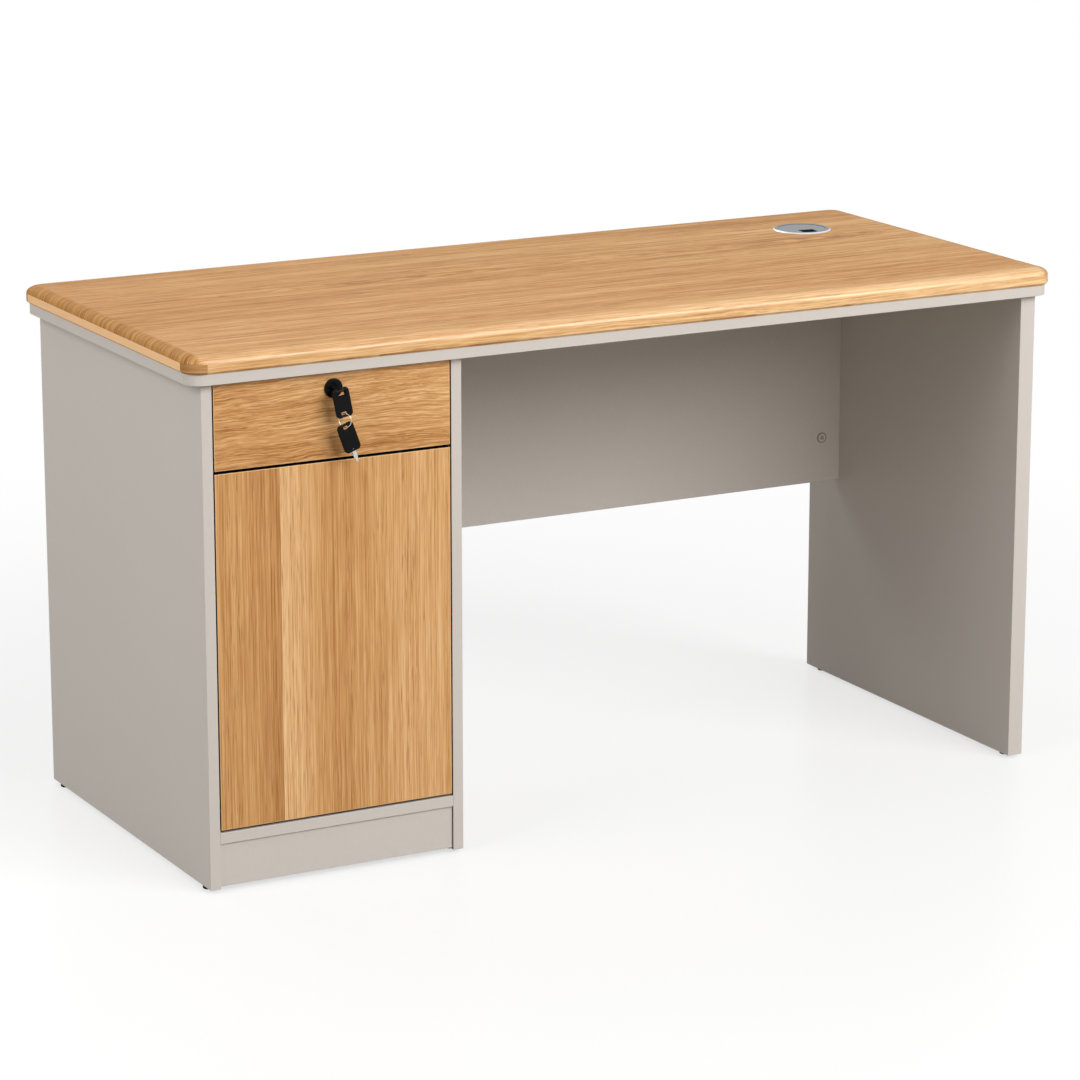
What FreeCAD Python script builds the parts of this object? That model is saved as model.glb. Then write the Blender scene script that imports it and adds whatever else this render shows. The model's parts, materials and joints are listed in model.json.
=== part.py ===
import FreeCAD, Part
import math
import os

Vector = FreeCAD.Vector

# Overall size of the desk, in millimetres
desk_width = 1400.0
desk_depth = 610.0
desk_height = 760.0

# Boards
worktop_thickness = 25.0
sub_top_thickness = 16.0
board = 16.0
end_board = 25.0
drawer_board = 12.0
drawer_bottom_board = 5.0
board_ease = 0.8

# How far the worktop stands out over the panels, and over the sub-top
end_overhang = 24.0
front_overhang = 16.0
back_overhang = 12.0
sub_top_inset = 4.0

# Edge of the worktop and plan corners
worktop_corner_radius = 28.0
edge_round_width = 20.0
edge_round_height = 11.0
edge_under_bevel = 3.0
sub_top_corner_radius = 25.0

# Pedestal, its fronts and the gaps round them
pedestal_width = 392.0
bottom_panel_rise = 70.0
plinth_setback = 3.0
plinth_floor_gap = 8.0
drawer_front_height = 119.0
front_side_gap = 2.0
drawer_top_gap = 3.0
drawer_door_gap = 4.0
door_bottom_gap = 3.5

# Modesty panel
modesty_height = 383.0
modesty_setback = 72.0

# Foot glides
glide_height = 5.0
glide_radius = 7.5
glide_bevel = 1.0
glide_nail_radius = 1.5
glide_nail_length = 14.0
glide_inset = 28.0

# Dowels and screws
dowel_radius = 4.0
dowel_short_end = 10.0
dowel_long_end = 20.0
dowel_inset = 80.0
drawer_dowel_radius = 3.0
hole_clearance = 0.05
hole_end_room = 1.0
screw_shank_radius = 1.75
screw_head_radius = 3.5
screw_head_height = 1.6
screw_length = 11.0
worktop_screw_recess = 4.0
worktop_screw_length = 26.0
worktop_screw_columns = 4
worktop_screw_end_margin = 90.0
worktop_screw_side_margin = 140.0
confirmat_radius = 3.0
confirmat_head_radius = 5.0
confirmat_head_height = 2.0
confirmat_length = 48.0
confirmat_inset = 60.0

# Cam fitting that joins the modesty panel to the right end panel
cam_radius = 7.5
cam_depth = 12.5
cam_edge_distance = 34.0
cam_rise = 72.0
cam_bolt_radius = 3.0
cam_bolt_bore = 3.6
cam_bolt_grip = 11.0
cam_cap_radius = 8.5
cam_cap_thickness = 1.2
cam_cap_ease = 0.5

# Drawer box
drawer_side_height = 84.0
drawer_box_lift = 11.0
drawer_back_room = 100.0
drawer_groove_rise = 10.0
drawer_groove_depth = 6.0
drawer_groove_clearance = 0.1
drawer_overlap = 50.0

# Ball-bearing drawer slides, seen in section from the panel towards the drawer
slide_space = 12.7
slide_wall = 1.2
slide_start_gap = 2.0
slide_outer_height = 45.0
slide_outer_reach = 10.5
slide_middle_web = 4.0
slide_middle_reach = 11.0
slide_inner_reach = 6.5
slide_middle_shortening = 10.0
slide_ball_radius = 1.5
slide_ball_clearance = 0.1
slide_balls_in_row = 5
slide_ball_margin = 15.0
slide_screw_inset = 36.0

# Concealed door hinges
hinge_pin_from_edge = 22.0
hinge_pin_radius = 1.5
hinge_pin_clearance = 0.05
hinge_inset = 80.0
hinge_cup_radius = 17.5
hinge_cup_depth = 12.5
hinge_cup_wall = 1.0
hinge_cup_floor = 0.8
hinge_flange_radius = 20.0
hinge_flange_thickness = 1.2
hinge_ear_offset = 6.0
hinge_ear_spacing = 48.0
hinge_ear_radius = 6.0
hinge_arm_thickness = 2.5
hinge_arm_height = 14.0
hinge_arm_tail = 50.0
hinge_eye_radius = 3.2
hinge_heel_room = 1.5
hinge_plate_thickness = 2.0
hinge_plate_length = 40.0
hinge_plate_height = 44.0
hinge_plate_start = 8.0
hinge_plate_screw_spacing = 30.0

# Push latch that holds and opens the door
latch_width = 22.0
latch_height = 16.0
latch_length = 62.0
latch_axis_offset = 14.0
latch_door_gap = 4.0
latch_back_wall = 5.0
latch_plunger_radius = 4.0
latch_plunger_length = 50.0
latch_plunger_clearance = 0.06
latch_tip_gap = 0.3
latch_strike_radius = 9.0
latch_strike_thickness = 1.5
latch_lug_thickness = 1.5
latch_lug_height = 9.0
latch_screw_inset = 12.0

# Drawer lock
lock_drop = 21.0
lock_face_radius = 13.5
lock_face_thickness = 3.0
lock_face_ease = 1.4
lock_barrel_radius = 9.0
lock_barrel_length = 22.5
lock_plug_radius = 6.0
lock_plug_clearance = 0.05
lock_plug_proud = 1.5
lock_nut_flats = 22.0
lock_nut_thickness = 3.5
lock_tail_square = 5.9
lock_cam_thickness = 2.0
lock_cam_gap = 0.5
lock_cam_hub_radius = 8.0
lock_cam_width = 10.0
lock_cam_length = 20.0
lock_cam_screw_radius = 1.5
lock_cam_screw_head_radius = 5.0
lock_cam_screw_head_height = 2.0
lock_cam_screw_grip = 8.0
lock_strike_thickness = 1.5
lock_strike_width = 36.0
lock_strike_depth = 22.0
lock_strike_drop = 14.0
lock_strike_screw_spacing = 22.0

# Key heads and blades
key_head_width = 25.0
key_head_length = 42.0
key_head_thickness = 5.6
key_head_corner = 6.0
key_head_ease = 2.2
key_pin_from_end = 4.0
key_pin_radius = 1.0
key_pin_clearance = 0.05
key_pin_recess = 1.5
key_blade_width = 5.6
key_blade_thickness = 2.0
key_blade_taper = 8.0
key_blade_tip = 2.0
key_slot_clearance = 0.1

# Folding key in the lock
key_reach = 22.0
key_roll = 11.0
key_blade_in_plug = 10.0
key_knuckle_width = 11.5
key_knuckle_radius = 2.4
key_neck_width = 7.6
key_neck_thickness = 4.6
key_neck_gap = 0.5
key_notch_length = 7.3
key_notch_clearance = 0.25

# Spare key with its blade set fast in the head
spare_blade_length = 20.0
spare_blade_root = 12.0
spare_tilt = 20.0

# Ring, and the slots and round bars of the heads that it passes
ring_radius = 9.6
ring_wire_radius = 0.6
ring_gap = 0.8
ring_turn = 36.0
ring_bar_radius = 1.8
ring_bar_from_end = 2.1
ring_bar_anchor = 2.0
ring_slot_corner = 0.5
key_slot_width = 9.8
key_slot_height = 4.8
key_slot_shift = -1.0
spare_slot_width = 7.4
spare_slot_height = 5.1

# Cable grommet
grommet_from_right = 157.0
grommet_from_back = 149.0
grommet_hole_radius = 40.0
grommet_rebate = 0.6
grommet_fit = 0.2
grommet_flange_radius = 45.0
grommet_flange_height = 2.2
grommet_flange_bevel = 1.6
grommet_depth = 30.0
grommet_wall = 2.2
grommet_ledge_width = 3.0
grommet_ledge_height = 3.5
grommet_cap_thickness = 4.0
grommet_cap_gap = 0.3
grommet_cap_ease = 0.6
grommet_notch_width = 25.0
grommet_notch_from_centre = 11.0
grommet_notch_corner = 3.0
grommet_notch_turn = -7.0

# Places of the boards
z_top = desk_height - worktop_thickness
z_panel_top = z_top - sub_top_thickness
z_panel_bottom = glide_height
x_left_out = -desk_width / 2 + end_overhang
x_left_in = x_left_out + board
x_inner_out = x_left_out + pedestal_width
x_inner_in = x_inner_out - board
x_right_out = desk_width / 2 - end_overhang
x_right_in = x_right_out - end_board
y_front = -desk_depth / 2 + front_overhang
y_back = desk_depth / 2 - back_overhang
y_pedestal_back = y_back - board
y_behind_fronts = y_front + board
y_modesty_back = y_back - modesty_setback
y_modesty_front = y_modesty_back - board
z_modesty_bottom = z_panel_top - modesty_height
z_bottom_panel_top = bottom_panel_rise + board

# Places of the drawer front, the door and the divider behind their gap
x_fronts_left = x_left_in + front_side_gap
x_fronts_right = x_inner_in - front_side_gap
z_drawer_front_top = z_panel_top - drawer_top_gap
z_drawer_front_bottom = z_drawer_front_top - drawer_front_height
z_door_top = z_drawer_front_bottom - drawer_door_gap
z_door_bottom = z_bottom_panel_top + door_bottom_gap
z_divider_bottom = z_door_top + (drawer_door_gap - board) / 2
z_drawer_bottom = z_drawer_front_bottom + drawer_box_lift
z_drawer_top = z_drawer_bottom + drawer_side_height
z_groove = z_drawer_bottom + drawer_groove_rise
y_drawer_end = y_pedestal_back - drawer_back_room
drawer_length = y_drawer_end - y_behind_fronts
drawer_travel = drawer_length - drawer_overlap
slide_length = drawer_length

# Door hinge axis and the circle that the door's heel sweeps
hinge_pin_x = x_fronts_left + hinge_pin_from_edge
hinge_pin_y = y_front + board / 2
hinge_heel_radius = math.hypot(hinge_pin_from_edge, board / 2)
hinge_heights = (z_door_bottom + hinge_inset, z_door_top - hinge_inset)
y_divider = hinge_pin_y + hinge_heel_radius + hinge_heel_room

# Lock axis, the pin that the key folds on, and the ring wire's distance from a head's bar
lock_x = (x_fronts_left + x_fronts_right) / 2
lock_z = z_drawer_front_top - lock_drop
key_pin_place = Vector(lock_x, y_front - key_reach, lock_z)
ring_hang = ring_bar_radius + ring_gap + ring_wire_radius

# Centre of the grommet
grommet_x = desk_width / 2 - grommet_from_right
grommet_y = desk_depth / 2 - grommet_from_back

X_AXIS = Vector(1, 0, 0)
Y_AXIS = Vector(0, 1, 0)
Z_AXIS = Vector(0, 0, 1)

pieces = {}
groups = {}
holes = {}


def box(low, high):
    size = [b - a for a, b in zip(low, high)]
    return Part.makeBox(size[0], size[1], size[2], Vector(*low))


def rod(start, direction, radius, length):
    return Part.makeCylinder(radius, length, Vector(*start), Vector(*direction))


def joined(shapes):
    return shapes[0].multiFuse(shapes[1:]).removeSplitter()


def eased_board(low, high):
    blank = box(low, high)
    return blank.makeFillet(board_ease, blank.Edges)


def edges_along(shape, direction):
    straight = [e for e in shape.Edges if isinstance(e.Curve, Part.Line)]
    return [e for e in straight if abs(e.Curve.Direction.dot(direction)) > 0.999]


def drill(node, tool):
    holes.setdefault(node, []).append(tool)


def add_to_group(name, solid):
    groups.setdefault(name, []).append(solid)


def dowel(group, point, direction, first, second, depths, radius):
    """A dowel across a joint, with its holes in the boards on both sides."""
    way = Vector(*direction)
    start = Vector(*point) - way * depths[0]
    length = depths[0] + depths[1]
    tool_start = start - way * hole_end_room
    tool = Part.makeCylinder(radius + hole_clearance, length + 2 * hole_end_room, tool_start, way)
    drill(first, tool)
    drill(second, tool)
    add_to_group(group, Part.makeCylinder(radius, length, start, way))


def screw(group, seat, direction, through, length=screw_length):
    """A pan-head screw whose head rests on the seat, with its holes in the pieces it passes."""
    way = Vector(*direction)
    place = Vector(*seat)
    head_start = place - way * screw_head_height
    head = Part.makeCylinder(screw_head_radius, screw_head_height, head_start, way)
    shank = Part.makeCylinder(screw_shank_radius, length, place, way)
    tool = Part.makeCylinder(screw_shank_radius + hole_clearance, length + hole_end_room, place, way)
    for node in through:
        drill(node, tool)
    add_to_group(group, joined([head, shank]))


# Worktop and sub-top

def worktop_section():
    """Half section of the worktop's edge, from the plan corner's centre outwards."""
    out = worktop_corner_radius
    shoulder = desk_height - edge_round_height
    flat_end = out - edge_round_width
    points = [
        Vector(flat_end, 0, desk_height),
        Vector(0, 0, desk_height),
        Vector(0, 0, z_top),
        Vector(out - edge_under_bevel, 0, z_top),
        Vector(out, 0, z_top + edge_under_bevel),
        Vector(out, 0, shoulder),
    ]
    edges = [Part.makeLine(a, b) for a, b in zip(points, points[1:])]
    quarter = Part.BezierCurve()
    quarter.setPoles([points[-1], Vector(out, 0, desk_height), points[0]])
    quarter.setWeight(2, math.sqrt(0.5))
    return Part.Face(Part.Wire(edges + [quarter.toShape()]))


def make_worktop():
    section = worktop_section()
    half_x = desk_width / 2 - worktop_corner_radius
    half_y = desk_depth / 2 - worktop_corner_radius
    solids = [box((-half_x, -half_y, z_top), (half_x, half_y, desk_height))]
    for quarter in range(4):
        out, along = (half_x, half_y) if quarter % 2 == 0 else (half_y, half_x)
        side = section.extrude(Vector(0, 2 * along, 0))
        side.translate(Vector(out, -along, 0))
        corner = section.revolve(Vector(0, 0, 0), Z_AXIS, 90)
        corner.translate(Vector(out, along, 0))
        for piece in (side, corner):
            piece.rotate(Vector(0, 0, 0), Z_AXIS, 90 * quarter)
            solids.append(piece)
    pieces["worktop"] = joined(solids)


def make_sub_top():
    half_x = desk_width / 2 - sub_top_inset
    half_y = desk_depth / 2 - sub_top_inset
    plate = box((-half_x, -half_y, z_panel_top), (half_x, half_y, z_top))
    plate = plate.makeFillet(sub_top_corner_radius, edges_along(plate, Z_AXIS))
    rims = [e for face in plate.Faces if abs(face.normalAt(0, 0).z) > 0.999 for e in face.Edges]
    pieces["sub_top"] = plate.makeFillet(board_ease, rims)


def make_worktop_screws():
    span = desk_width - 2 * worktop_screw_end_margin
    rows = (-desk_depth / 2 + worktop_screw_side_margin, desk_depth / 2 - worktop_screw_side_margin)
    seat_z = z_panel_top + worktop_screw_recess
    for column in range(worktop_screw_columns):
        x = -span / 2 + span * column / (worktop_screw_columns - 1)
        for y in rows:
            wide = screw_head_radius + hole_end_room
            drill("sub_top", rod((x, y, z_panel_top), (0, 0, 1), wide, worktop_screw_recess))
            screw("worktop_screws", (x, y, seat_z), (0, 0, 1), ("sub_top", "worktop"), worktop_screw_length)


# Panels, plinth, divider and feet

def make_panels():
    sides = {
        "left_side_panel": (x_left_out, x_left_in),
        "pedestal_inner_panel": (x_inner_in, x_inner_out),
        "right_end_panel": (x_right_in, x_right_out),
    }
    for name, (x_low, x_high) in sides.items():
        pieces[name] = eased_board((x_low, y_front, z_panel_bottom), (x_high, y_back, z_panel_top))
        middle = (x_low + x_high) / 2
        for y in (y_front + glide_inset, y_back - glide_inset):
            make_glide(name, middle, y)
        for y in (y_front + dowel_inset, y_back - dowel_inset):
            depths = (dowel_long_end, dowel_short_end)
            dowel("wood_dowels", (middle, y, z_panel_top), (0, 0, 1), name, "sub_top", depths, dowel_radius)


def make_glide(panel, x, y):
    foot = rod((x, y, 0), (0, 0, 1), glide_radius, glide_height)
    low_rim = [e for e in foot.Edges if e.BoundBox.ZMax < glide_bevel]
    foot = foot.makeChamfer(glide_bevel, low_rim)
    nail = rod((x, y, glide_height), (0, 0, 1), glide_nail_radius, glide_nail_length)
    tool = rod((x, y, glide_height), (0, 0, 1), glide_nail_radius + hole_clearance,
               glide_nail_length + hole_end_room)
    drill(panel, tool)
    add_to_group("foot_glides", joined([foot, nail]))


def make_pedestal_boards():
    low_x, high_x = x_left_in, x_inner_in
    pieces["pedestal_bottom_panel"] = eased_board(
        (low_x, y_front, bottom_panel_rise), (high_x, y_pedestal_back, z_bottom_panel_top))
    pieces["pedestal_plinth"] = eased_board(
        (low_x, y_front + plinth_setback, plinth_floor_gap),
        (high_x, y_front + plinth_setback + board, bottom_panel_rise))
    pieces["pedestal_back_panel"] = eased_board(
        (low_x, y_pedestal_back, bottom_panel_rise), (high_x, y_back, z_panel_top))
    pieces["pedestal_divider"] = eased_board(
        (low_x, y_divider, z_divider_bottom), (high_x, y_pedestal_back, z_divider_bottom + board))
    half = board / 2
    ends = (y_front + dowel_inset, y_pedestal_back - dowel_inset)
    plinth_middle = (y_front + plinth_setback + half, (plinth_floor_gap + bottom_panel_rise) / 2)
    back_rows = (bottom_panel_rise + dowel_inset, z_divider_bottom - dowel_inset)
    places = {
        "pedestal_bottom_panel": [(y, bottom_panel_rise + half) for y in ends],
        "pedestal_divider": [(y, z_divider_bottom + half) for y in ends],
        "pedestal_plinth": [plinth_middle],
        "pedestal_back_panel": [(y_pedestal_back + half, z) for z in back_rows],
    }
    depths = (dowel_short_end, dowel_long_end)
    for name, spots in places.items():
        for y, z in spots:
            dowel("wood_dowels", (low_x, y, z), (1, 0, 0), "left_side_panel", name, depths, dowel_radius)
            dowel("wood_dowels", (high_x, y, z), (-1, 0, 0), "pedestal_inner_panel", name,
                  depths, dowel_radius)


def make_modesty_panel():
    pieces["modesty_panel"] = eased_board(
        (x_inner_out, y_modesty_front, z_modesty_bottom), (x_right_in, y_modesty_back, z_panel_top))
    middle_y = (y_modesty_front + y_modesty_back) / 2
    depths = (dowel_short_end, dowel_long_end)
    dowel("wood_dowels", (x_right_in, middle_y, z_panel_top - dowel_inset), (-1, 0, 0),
          "right_end_panel", "modesty_panel", depths, dowel_radius)
    for z in (z_modesty_bottom + confirmat_inset, z_panel_top - confirmat_inset):
        make_confirmat(x_inner_in, middle_y, z)


def make_confirmat(x, y, z):
    """A long screw from inside the pedestal into the end of the modesty panel."""
    head = rod((x, y, z), (-1, 0, 0), confirmat_head_radius, confirmat_head_height)
    shank = rod((x, y, z), (1, 0, 0), confirmat_radius, confirmat_length)
    tool = rod((x, y, z), (1, 0, 0), confirmat_radius + hole_clearance, confirmat_length + hole_end_room)
    drill("pedestal_inner_panel", tool)
    drill("modesty_panel", tool)
    add_to_group("modesty_screws", joined([head, shank]))


def make_cam_fitting():
    x = x_right_in - cam_edge_distance
    z = z_modesty_bottom + cam_rise
    front = y_modesty_front
    middle_y = front + board / 2
    cam = rod((x, front, z), (0, 1, 0), cam_radius, cam_depth)
    socket = rod((x, middle_y, z), (1, 0, 0), cam_bolt_bore, cam_radius + hole_end_room)
    pieces["modesty_cam"] = cam.cut(socket)
    seat = rod((x, front, z), (0, 1, 0), cam_radius + hole_clearance, cam_depth + hole_end_room)
    tunnel = rod((x, middle_y, z), (1, 0, 0), cam_bolt_bore, cam_edge_distance + hole_end_room)
    drill("modesty_panel", seat)
    drill("modesty_panel", tunnel)
    bolt_length = cam_edge_distance + cam_bolt_grip
    pieces["modesty_cam_bolt"] = rod((x, middle_y, z), (1, 0, 0), cam_bolt_radius, bolt_length)
    hole_length = bolt_length + hole_end_room
    bolt_hole = rod((x, middle_y, z), (1, 0, 0), cam_bolt_radius + hole_clearance, hole_length)
    drill("right_end_panel", bolt_hole)
    cap = rod((x, front, z), (0, -1, 0), cam_cap_radius, cam_cap_thickness)
    rim = [e for e in cap.Edges if e.BoundBox.YMax < front - cam_cap_thickness / 2]
    pieces["cam_cover_cap"] = cap.makeFillet(cam_cap_ease, rim)


# Drawer box

def make_drawer():
    left = x_left_in + slide_space
    right = x_inner_in - slide_space
    inner_left, inner_right = left + drawer_board, right - drawer_board
    pieces["drawer_front"] = eased_board(
        (x_fronts_left, y_front, z_drawer_front_bottom),
        (x_fronts_right, y_behind_fronts, z_drawer_front_top))
    pieces["drawer_left_side"] = eased_board(
        (left, y_behind_fronts, z_drawer_bottom), (inner_left, y_drawer_end, z_drawer_top))
    pieces["drawer_right_side"] = eased_board(
        (inner_right, y_behind_fronts, z_drawer_bottom), (right, y_drawer_end, z_drawer_top))
    z_bottom_top = z_groove + drawer_bottom_board
    y_back_board = y_drawer_end - drawer_board
    pieces["drawer_back"] = eased_board(
        (inner_left, y_back_board, z_bottom_top), (inner_right, y_drawer_end, z_drawer_top))
    gap = drawer_groove_clearance
    tongue = drawer_groove_depth - gap
    pieces["drawer_bottom"] = box(
        (inner_left - tongue, y_behind_fronts - tongue, z_groove),
        (inner_right + tongue, y_drawer_end, z_bottom_top))
    groove = box(
        (inner_left - drawer_groove_depth, y_behind_fronts - drawer_groove_depth, z_groove - gap),
        (inner_right + drawer_groove_depth, y_drawer_end + hole_end_room, z_bottom_top + gap))
    for name in ("drawer_front", "drawer_left_side", "drawer_right_side"):
        drill(name, groove)
    half = drawer_board / 2
    rows = ((z_bottom_top + z_drawer_top) / 2, z_drawer_top - drawer_board)
    depths = (dowel_short_end, dowel_long_end)
    for name, x, inner_x, way in (("drawer_left_side", left + half, inner_left, 1),
                                  ("drawer_right_side", right - half, inner_right, -1)):
        for z in rows:
            dowel("drawer_dowels", (x, y_behind_fronts, z), (0, 1, 0), "drawer_front", name,
                  depths, drawer_dowel_radius)
            dowel("drawer_dowels", (inner_x, y_drawer_end - half, z), (way, 0, 0), name, "drawer_back",
                  (drawer_board * 0.75, dowel_long_end), drawer_dowel_radius)


# Drawer slides

def across(side, offset):
    """X at a distance from the panel that carries the slide, towards the drawer."""
    return x_left_in + offset if side == "left" else x_inner_in - offset


def slide_box(side, offsets, y_range, z_range):
    x_low, x_high = sorted(across(side, offset) for offset in offsets)
    return box((x_low, y_range[0], z_range[0]), (x_high, y_range[1], z_range[1]))


def channel(side, web, lip, half_height, y_range):
    """C channel with its web between two offsets and its flanges out to the lip."""
    z = z_drawer_bottom + drawer_side_height / 2
    near, far = min(web[0], lip), max(web[1], lip)
    wall = slide_wall
    parts = [slide_box(side, web, y_range, (z - half_height, z + half_height))]
    parts.append(slide_box(side, (near, far), y_range, (z + half_height - wall, z + half_height)))
    parts.append(slide_box(side, (near, far), y_range, (z - half_height, z - half_height + wall)))
    return joined(parts)


def make_slides():
    start = y_behind_fronts + slide_start_gap
    whole = (start, start + slide_length)
    shortening = slide_middle_shortening / 2
    ball_room = 2 * (slide_ball_radius + slide_ball_clearance)
    outer_half = slide_outer_height / 2
    middle_half = outer_half - slide_wall - ball_room
    inner_half = middle_half - slide_wall - ball_room
    z = z_drawer_bottom + drawer_side_height / 2
    middle_web = (slide_middle_web, slide_middle_web + slide_wall)
    for side, panel in (("left", "left_side_panel"), ("right", "pedestal_inner_panel")):
        names = {part: side + "_slide_" + part for part in ("outer", "middle", "inner")}
        pieces[names["outer"]] = channel(side, (0, slide_wall), slide_outer_reach, outer_half, whole)
        pieces[names["middle"]] = channel(side, middle_web, slide_middle_reach, middle_half,
                                          (start + shortening, start + slide_length - shortening))
        pieces[names["inner"]] = channel(side, (slide_space - slide_wall, slide_space), slide_inner_reach,
                                         inner_half, whole)
        way = 1 if side == "left" else -1
        box_side = "drawer_" + side + "_side"
        for y in (start + slide_screw_inset, start + slide_length - slide_screw_inset):
            screw("cabinet_screws", (across(side, slide_wall), y, z), (-way, 0, 0), (panel, names["outer"]))
            screw("drawer_slide_screws", (across(side, slide_space - slide_wall), y, z), (way, 0, 0),
                  (box_side, names["inner"]))
        make_slide_balls(side, start, z, middle_half)


def make_slide_balls(side, start, z, middle_half):
    """Rows of balls that ride with the middle member and never leave the outer and inner ones."""
    half_travel = drawer_travel / 2
    run = slide_length - half_travel - 2 * slide_ball_margin
    step = run / (slide_balls_in_row - 1)
    reach = slide_ball_radius + slide_ball_clearance
    outer_row = (middle_half + reach, start + half_travel + slide_ball_margin,
                 (slide_middle_web + slide_outer_reach) / 2)
    inner_row = (middle_half - slide_wall - reach, start + slide_ball_margin,
                 (slide_inner_reach + slide_middle_reach) / 2)
    for rise, first, offset in (outer_row, inner_row):
        for number in range(slide_balls_in_row):
            for sign in (-1, 1):
                centre = Vector(across(side, offset), first + number * step, z + sign * rise)
                add_to_group("slide_balls", Part.makeSphere(slide_ball_radius, centre))


# Door, hinges and push latch

def make_door():
    pieces["cabinet_door"] = eased_board(
        (x_fronts_left, y_front, z_door_bottom), (x_fronts_right, y_behind_fronts, z_door_top))
    for name, z in zip(("lower", "upper"), hinge_heights):
        make_hinge(name, z)


def strip(start, end, thickness, z_low, z_high):
    """Upright strip along a line in plan, with round ends."""
    way = Vector(end[0] - start[0], end[1] - start[1], 0)
    height = z_high - z_low
    run = Part.makeBox(way.Length, thickness, height, Vector(0, -thickness / 2, 0))
    run.rotate(Vector(0, 0, 0), Z_AXIS, math.degrees(math.atan2(way.y, way.x)))
    run.translate(Vector(start[0], start[1], z_low))
    ends = [rod((x, y, z_low), (0, 0, 1), thickness / 2, height) for x, y in (start, end)]
    return joined([run] + ends)


def make_hinge(name, z):
    pin_x, pin_y = hinge_pin_x, hinge_pin_y
    arm_low, arm_high = z - hinge_arm_height / 2, z + hinge_arm_height / 2
    half_arm = hinge_arm_thickness / 2
    run = hinge_heel_radius + hinge_heel_room + half_arm
    tail_x = x_left_in + hinge_plate_thickness + half_arm
    corners = [
        (pin_x, pin_y),
        (pin_x + run, pin_y + run),
        (tail_x, pin_y + run),
        (tail_x, pin_y + run + hinge_arm_tail),
    ]
    bends = [strip(a, b, hinge_arm_thickness, arm_low, arm_high) for a, b in zip(corners, corners[1:])]
    eye = rod((pin_x, pin_y, arm_low), (0, 0, 1), hinge_eye_radius, hinge_arm_height)
    bore = rod((pin_x, pin_y, arm_low), (0, 0, 1), hinge_pin_radius + hinge_pin_clearance, hinge_arm_height)
    pieces[name + "_hinge_arm"] = joined(bends + [eye]).cut(bore)
    plate_y = pin_y + run + hinge_plate_start
    half_plate = hinge_plate_height / 2
    pieces[name + "_hinge_plate"] = box(
        (x_left_in, plate_y, z - half_plate),
        (x_left_in + hinge_plate_thickness, plate_y + hinge_plate_length, z + half_plate))
    screw_y = plate_y + hinge_plate_length / 2
    plate_name, arm_name = name + "_hinge_plate", name + "_hinge_arm"
    plate_face = x_left_in + hinge_plate_thickness
    for offset in (-hinge_plate_screw_spacing / 2, hinge_plate_screw_spacing / 2):
        seat = (plate_face, screw_y, z + offset)
        screw("cabinet_screws", seat, (-1, 0, 0), ("left_side_panel", plate_name))
    screw("cabinet_screws", (plate_face + hinge_arm_thickness, screw_y, z), (-1, 0, 0),
          ("left_side_panel", plate_name, arm_name))
    make_hinge_cup(name, z)


def make_hinge_cup(name, z):
    x, back = hinge_pin_x, y_behind_fronts
    inner_radius = hinge_cup_radius - hinge_cup_wall
    pot = rod((x, back, z), (0, -1, 0), hinge_cup_radius, hinge_cup_depth)
    flange = rod((x, back, z), (0, 1, 0), hinge_flange_radius, hinge_flange_thickness)
    ear_x = x + hinge_ear_offset
    half_spacing = hinge_ear_spacing / 2
    ears = [rod((ear_x, back, z + sign * half_spacing), (0, 1, 0), hinge_ear_radius, hinge_flange_thickness)
            for sign in (-1, 1)]
    bridge = box((ear_x - hinge_ear_radius, back, z - half_spacing),
                 (ear_x + hinge_ear_radius, back + hinge_flange_thickness, z + half_spacing))
    hollow_depth = hinge_cup_depth - hinge_cup_floor
    hollow = rod((x, back + hinge_flange_thickness, z), (0, -1, 0), inner_radius,
                 hollow_depth + hinge_flange_thickness)
    half_pin = hinge_cup_radius - hinge_cup_wall / 3
    pin = rod((x, hinge_pin_y, z - half_pin), (0, 0, 1), hinge_pin_radius, 2 * half_pin)
    pin_hole = rod((x, hinge_pin_y, z - hinge_cup_radius), (0, 0, 1), hinge_pin_radius + hole_clearance,
                   2 * hinge_cup_radius)
    pieces[name + "_hinge_cup"] = joined([pot, flange, bridge] + ears).cut([hollow, pin_hole])
    add_to_group("hinge_pins", pin)
    drill("cabinet_door", rod((x, back, z), (0, -1, 0), hinge_cup_radius + hole_clearance, hinge_cup_depth))
    for sign in (-1, 1):
        seat = (ear_x, back + hinge_flange_thickness, z + sign * half_spacing)
        screw("hinge_cup_screws", seat, (0, -1, 0), ("cabinet_door", name + "_hinge_cup"))


def make_push_latch():
    x = x_inner_in - latch_axis_offset
    z = (z_door_bottom + z_door_top) / 2
    front = y_behind_fronts + latch_door_gap
    half_height = latch_height / 2
    body = box(
        (x_inner_in - latch_width, front, z - half_height),
        (x_inner_in, front + latch_length, z + half_height))
    bore = rod((x, front, z), (0, 1, 0), latch_plunger_radius + latch_plunger_clearance,
               latch_length - latch_back_wall)
    pieces["push_latch_body"] = body.makeFillet(board_ease, edges_along(body, Y_AXIS)).cut(bore)
    strike_back = y_behind_fronts + latch_strike_thickness
    strike_seat = (x, y_behind_fronts, z)
    pieces["latch_strike"] = rod(strike_seat, (0, 1, 0), latch_strike_radius, latch_strike_thickness)
    plunger_tip = (x, strike_back + latch_tip_gap, z)
    plunger = rod(plunger_tip, (0, 1, 0), latch_plunger_radius, latch_plunger_length)
    tip = [e for e in plunger.Edges if e.BoundBox.YMax < strike_back + 2 * latch_tip_gap]
    pieces["latch_plunger"] = plunger.makeFillet(latch_plunger_radius / 4, tip)
    for y in (front + latch_screw_inset, front + latch_length - latch_screw_inset):
        add_latch_lug(y, z + half_height)


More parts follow.
